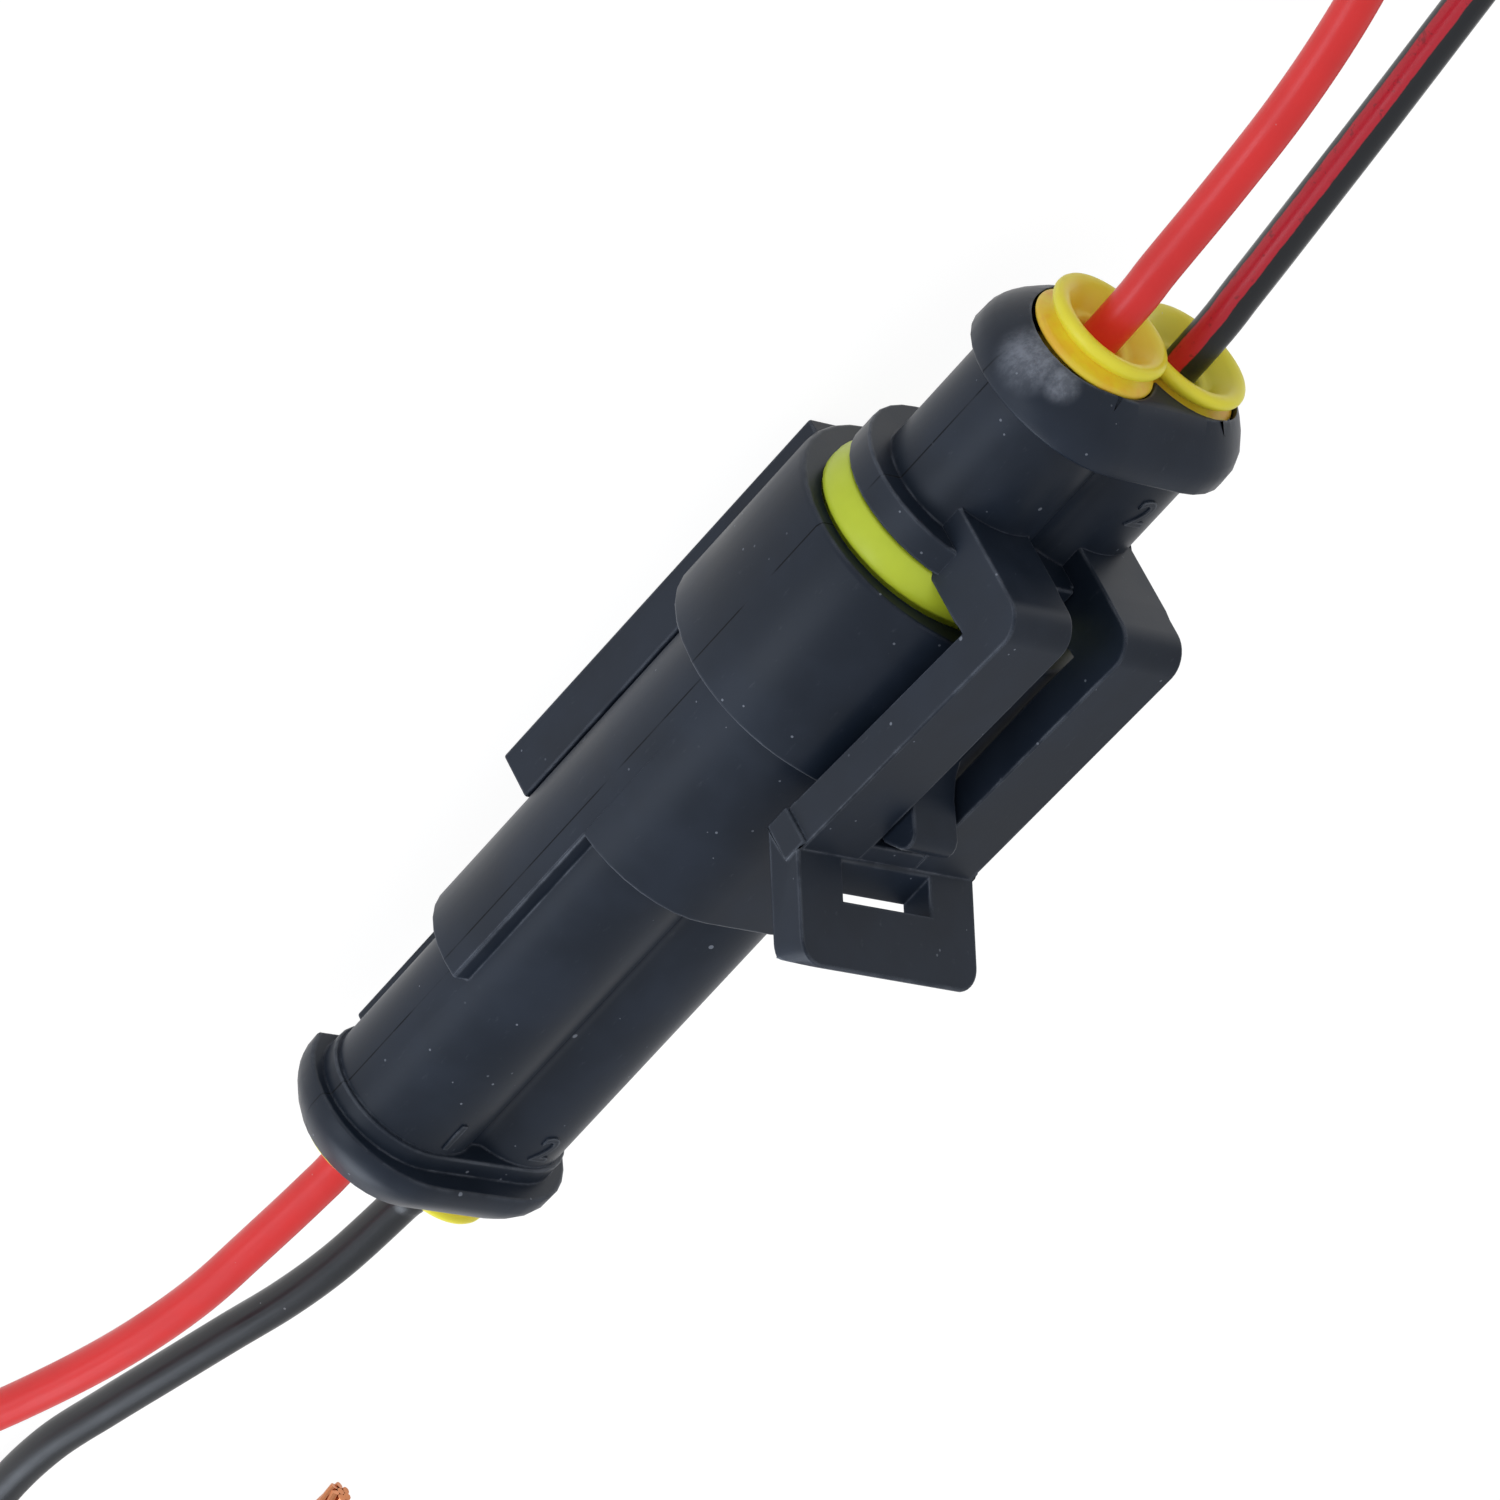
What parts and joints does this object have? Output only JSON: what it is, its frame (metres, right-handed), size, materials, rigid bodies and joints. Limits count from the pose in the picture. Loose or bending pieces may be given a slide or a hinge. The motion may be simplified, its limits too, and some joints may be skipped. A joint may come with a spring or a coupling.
{
  "type": "sealed automotive connector",
  "caption": "Mated sealed wire-to-wire connector: plug with lifting latch locked into a cap with clip rails, flared wire seals and wires leaving both ends.",
  "frame": {"origin": "centre of the connector's length and width, on the plane of the clip rails' foot", "axes": "+X along the mating axis towards the plug's wires, +Z towards the latch, +Y towards cavity 1"},
  "size_m": [0.1625, 0.0548, 0.0223],
  "materials": {
    "housing": "satin moulded nylon, near black",
    "interface_seal": "green-yellow silicone",
    "wire_seal": "yellow silicone",
    "contact_lock": "natural polyester",
    "contact": "tin plated",
    "wire_red": "satin wire insulation, red",
    "wire_black": "satin wire insulation, black",
    "strands": "bare copper strands"
  },
  "bodies": {
    "connector": {"cap_housing": "housing", "plug_housing": "housing", "interface_seal": "interface_seal", "plug_contact_lock": "contact_lock", "cap_contact_lock": "contact_lock", "plug_wire_seal_1": "wire_seal", "plug_wire_seal_2": "wire_seal", "cap_wire_seal_1": "wire_seal", "cap_wire_seal_2": "wire_seal", "socket_contact_1": "contact", "socket_contact_2": "contact", "pin_contact_1": "contact", "pin_contact_2": "contact", "plug_wire_1": "wire_red", "plug_wire_2": "wire_black", "cap_wire_1": "wire_red", "cap_wire_2": "wire_black", "plug_strands_1": "strands", "plug_strands_2": "strands", "cap_strands_1": "strands", "cap_strands_2": "strands"},
    "latch": {"latch_lever": "housing"}
  },
  "joints": [
    {"name": "latch_lift", "type": "hinge", "parent": "connector", "child": "latch", "pos_m": [0.01852, 0, 0.01495], "axis": [0, 1, 0], "range_deg": [0, 16], "stiffness_Nm_per_rad": 1}
  ]
}
